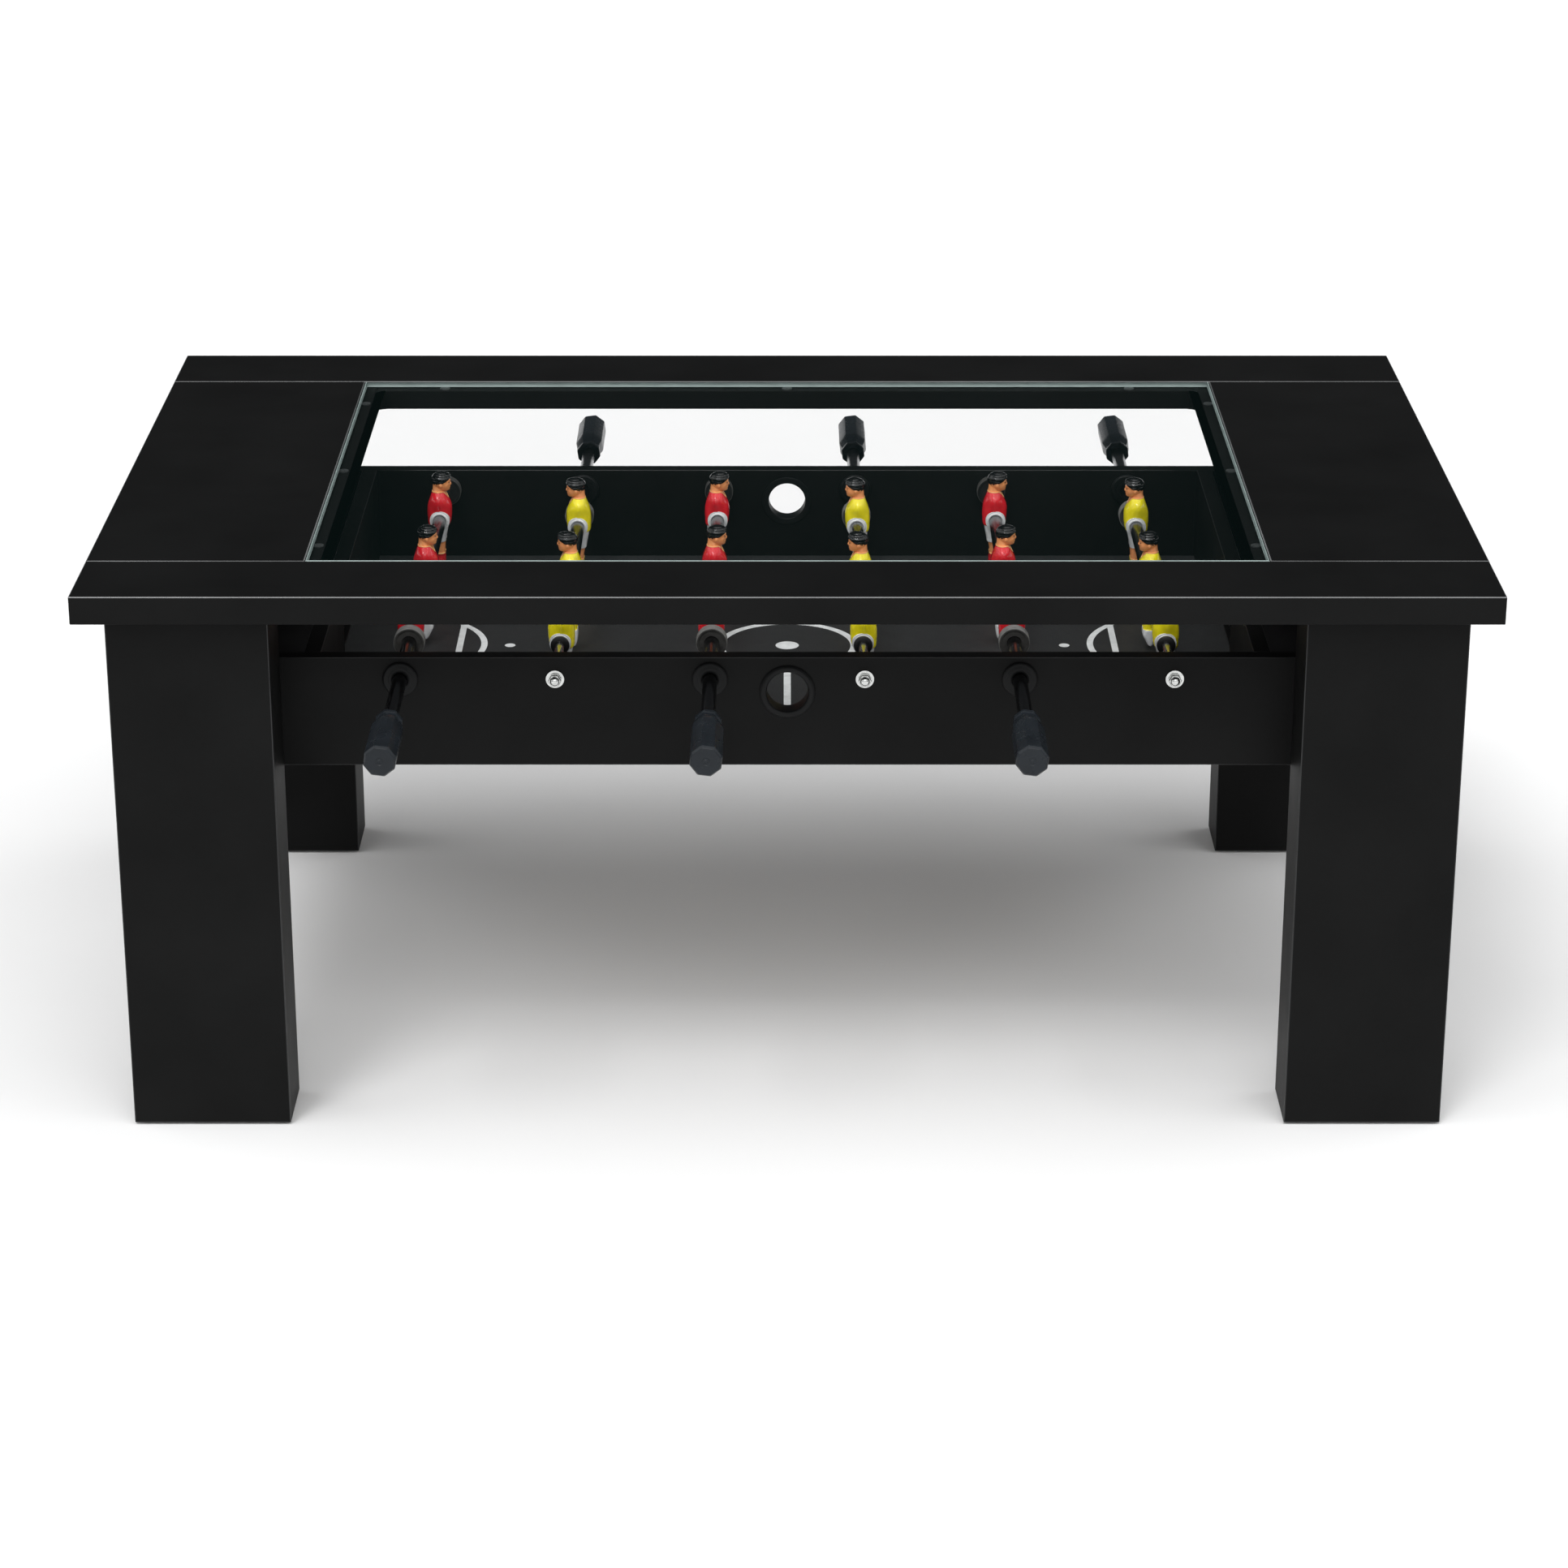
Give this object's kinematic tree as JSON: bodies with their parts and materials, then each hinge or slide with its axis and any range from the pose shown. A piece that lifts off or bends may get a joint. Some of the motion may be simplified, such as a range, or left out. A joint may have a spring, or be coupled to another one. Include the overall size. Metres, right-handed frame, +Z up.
{
  "type": "table football coffee table",
  "caption": "Low rectangular coffee table with a flush glass top over a table football field, telescopic player rods, slab legs and open sides.",
  "frame": {"origin": "on the floor under the middle of the tabletop", "axes": "+X along the table to the right as seen from the front, +Y from the front to the back, +Z up"},
  "size_m": [1.22, 0.978, 0.508],
  "materials": {
    "black_board": "satin black laminate on board",
    "glass": "clear tempered float glass, polished",
    "clear_pad": "clear soft pad",
    "black_plastic": "moulded, satin",
    "zinc_steel": "zinc plated",
    "bright_steel": "bright plated",
    "dark_tube": "black chrome, glossy",
    "beech": "sanded, unfinished",
    "playfield_print": "speckled charcoal laminate with printed white lines",
    "tray_board": "black paper-faced board",
    "rubber": "black rubber with a worn grey rim",
    "player_red": "glossy painted plastic, red shirt, white shorts",
    "player_yellow": "glossy painted plastic, yellow shirt, white shorts",
    "grip_plastic": "satin moulded"
  },
  "bodies": {
    "cabinet": {"top_front_rail": "black_board", "top_back_rail": "black_board", "top_left_panel": "black_board", "top_right_panel": "black_board", "glass_panel": "glass", "glass_pads": "clear_pad", "leg_front_left": "black_board", "leg_front_right": "black_board", "leg_back_left": "black_board", "leg_back_right": "black_board", "foot_glides": "black_plastic", "leg_brackets": "zinc_steel", "bracket_screws": "zinc_steel", "dowels": "beech", "leg_bolts": "zinc_steel", "front_apron": "black_board", "back_apron": "black_board", "end_aprons": "black_board", "goal_wall_left": "black_board", "goal_wall_right": "black_board", "playfield": "playfield_print", "ball_trays": "tray_board", "playfield_battens": "beech", "ball_entry_rings": "black_plastic", "rod_bushings": "black_plastic", "bushing_nuts": "black_plastic", "inner_rods": "bright_steel", "rod_end_washers": "bright_steel", "rod_end_nuts": "bright_steel", "far_bumpers": "rubber"},
    "rod_1_carrier": {"rod_1_guide": "black_plastic"},
    "rod_1": {"rod_1_tube": "dark_tube", "rod_1_players": "player_red", "rod_1_bumper": "rubber", "rod_1_handle": "grip_plastic"},
    "rod_2_carrier": {"rod_2_guide": "black_plastic"},
    "rod_2": {"rod_2_tube": "dark_tube", "rod_2_players": "player_yellow", "rod_2_bumper": "rubber", "rod_2_handle": "grip_plastic"},
    "rod_3_carrier": {"rod_3_guide": "black_plastic"},
    "rod_3": {"rod_3_tube": "dark_tube", "rod_3_players": "player_red", "rod_3_bumper": "rubber", "rod_3_handle": "grip_plastic"},
    "rod_4_carrier": {"rod_4_guide": "black_plastic"},
    "rod_4": {"rod_4_tube": "dark_tube", "rod_4_players": "player_yellow", "rod_4_bumper": "rubber", "rod_4_handle": "grip_plastic"},
    "rod_5_carrier": {"rod_5_guide": "black_plastic"},
    "rod_5": {"rod_5_tube": "dark_tube", "rod_5_players": "player_red", "rod_5_bumper": "rubber", "rod_5_handle": "grip_plastic"},
    "rod_6_carrier": {"rod_6_guide": "black_plastic"},
    "rod_6": {"rod_6_tube": "dark_tube", "rod_6_players": "player_yellow", "rod_6_bumper": "rubber", "rod_6_handle": "grip_plastic"}
  },
  "joints": [
    {"name": "rod_1_slide", "type": "slide", "parent": "cabinet", "child": "rod_1_carrier", "axis": [0, 1, 0], "range_m": [-0.073, 0.06]},
    {"name": "rod_1_spin", "type": "hinge", "parent": "rod_1_carrier", "child": "rod_1", "pos_m": [-0.34, 0, 0.4], "axis": [0, 1, 0], "continuous": true},
    {"name": "rod_2_slide", "type": "slide", "parent": "cabinet", "child": "rod_2_carrier", "axis": [0, -1, 0], "range_m": [-0.073, 0.06]},
    {"name": "rod_2_spin", "type": "hinge", "parent": "rod_2_carrier", "child": "rod_2", "pos_m": [-0.204, 0, 0.4], "axis": [0, -1, 0], "continuous": true},
    {"name": "rod_3_slide", "type": "slide", "parent": "cabinet", "child": "rod_3_carrier", "axis": [0, 1, 0], "range_m": [-0.073, 0.06]},
    {"name": "rod_3_spin", "type": "hinge", "parent": "rod_3_carrier", "child": "rod_3", "pos_m": [-0.068, 0, 0.4], "axis": [0, 1, 0], "continuous": true},
    {"name": "rod_4_slide", "type": "slide", "parent": "cabinet", "child": "rod_4_carrier", "axis": [0, -1, 0], "range_m": [-0.073, 0.06]},
    {"name": "rod_4_spin", "type": "hinge", "parent": "rod_4_carrier", "child": "rod_4", "pos_m": [0.068, 0, 0.4], "axis": [0, -1, 0], "continuous": true},
    {"name": "rod_5_slide", "type": "slide", "parent": "cabinet", "child": "rod_5_carrier", "axis": [0, 1, 0], "range_m": [-0.073, 0.06]},
    {"name": "rod_5_spin", "type": "hinge", "parent": "rod_5_carrier", "child": "rod_5", "pos_m": [0.204, 0, 0.4], "axis": [0, 1, 0], "continuous": true},
    {"name": "rod_6_slide", "type": "slide", "parent": "cabinet", "child": "rod_6_carrier", "axis": [0, -1, 0], "range_m": [-0.073, 0.06]},
    {"name": "rod_6_spin", "type": "hinge", "parent": "rod_6_carrier", "child": "rod_6", "pos_m": [0.34, 0, 0.4], "axis": [0, -1, 0], "continuous": true}
  ]
}
